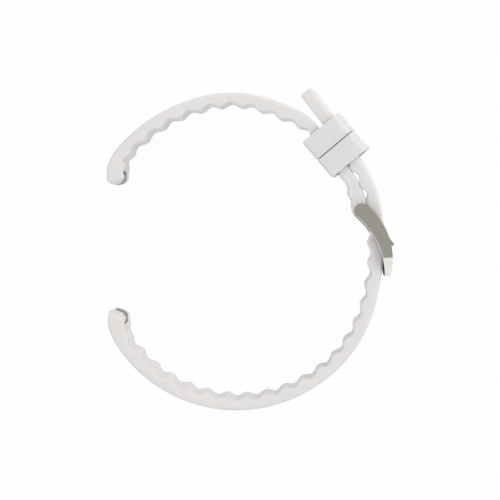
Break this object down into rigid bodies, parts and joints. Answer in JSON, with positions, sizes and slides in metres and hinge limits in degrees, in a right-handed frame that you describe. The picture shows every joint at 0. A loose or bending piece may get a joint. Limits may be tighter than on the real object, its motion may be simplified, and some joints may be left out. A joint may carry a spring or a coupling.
{
  "type": "watch strap with pin buckle",
  "caption": "Soft rubber wrist strap in halves, ribbed inside, buckled into a ring by a steel pin buckle and loops, with quick-release spring bars in recessed watch ends.",
  "frame": {"origin": "bottom centre of the bounding box, with the buckled ring lying on its side", "axes": "+Z across the strap's width, up from the side it lies on; +Y along the ring's longest direction, towards the keepers and the tip; +X towards the buckle, away from the gap for the watch"},
  "size_m": [0.0622, 0.0689, 0.022],
  "materials": {
    "rubber": "matt white silicone rubber",
    "keeper_rubber": "satin white silicone rubber",
    "buckle_steel": "fine satin with polished edges",
    "steel": "turned",
    "spring_wire": "drawn wire"
  },
  "bodies": {
    "strap": {"buckle_strap": "rubber", "tail_strap": "rubber", "fixed_keeper": "keeper_rubber", "buckle_bar_tube": "steel", "buckle_bar_spring": "spring_wire", "buckle_end_bar_tube": "steel", "buckle_end_bar_pin": "steel", "buckle_end_bar_spring": "spring_wire", "tail_end_bar_tube": "steel", "tail_end_bar_pin": "steel", "tail_end_bar_spring": "spring_wire"},
    "frame": {"buckle_frame": "buckle_steel"},
    "tang": {"buckle_tang": "buckle_steel"},
    "sliding_keeper": {"free_keeper": "keeper_rubber"},
    "upper_tip": {"buckle_bar_upper_tip": "steel"},
    "lower_tip": {"buckle_bar_lower_tip": "steel"},
    "buckle_end_plunger": {"buckle_end_bar_plunger": "steel", "buckle_end_bar_lever": "steel"},
    "tail_end_plunger": {"tail_end_bar_plunger": "steel", "tail_end_bar_lever": "steel"}
  },
  "joints": [
    {"name": "buckle_hinge", "type": "hinge", "parent": "strap", "child": "frame", "pos_m": [0.02373, 0.00853, 0.011], "axis": [0, 0, 1], "range_deg": [-1, 4]},
    {"name": "tang_hinge", "type": "hinge", "parent": "frame", "child": "tang", "pos_m": [0.02373, 0.00853, 0.011], "axis": [0, 0, 1], "range_deg": [0, 3]},
    {"name": "keeper_slide", "type": "slide", "parent": "strap", "child": "sliding_keeper", "axis": [-0.6088, 0.7934, 0], "range_m": [0, 0.002]},
    {"name": "upper_tip_slide", "type": "slide", "parent": "strap", "child": "upper_tip", "axis": [0, 0, -1], "range_m": [0, 0.001], "stiffness_N_per_m": 200, "springref_m": -0.002, "deforming": ["buckle_bar_spring"]},
    {"name": "lower_tip_slide", "type": "slide", "parent": "strap", "child": "lower_tip", "axis": [0, 0, 1], "range_m": [0, 0.001], "stiffness_N_per_m": 200, "springref_m": -0.002, "deforming": ["buckle_bar_spring"]},
    {"name": "buckle_end_release", "type": "slide", "parent": "strap", "child": "buckle_end_plunger", "axis": [0, 0, -1], "range_m": [0, 0.0013], "stiffness_N_per_m": 200, "springref_m": -0.002, "deforming": ["buckle_end_bar_spring"]},
    {"name": "tail_end_release", "type": "slide", "parent": "strap", "child": "tail_end_plunger", "axis": [0, 0, -1], "range_m": [0, 0.0013], "stiffness_N_per_m": 200, "springref_m": -0.002, "deforming": ["tail_end_bar_spring"]}
  ]
}
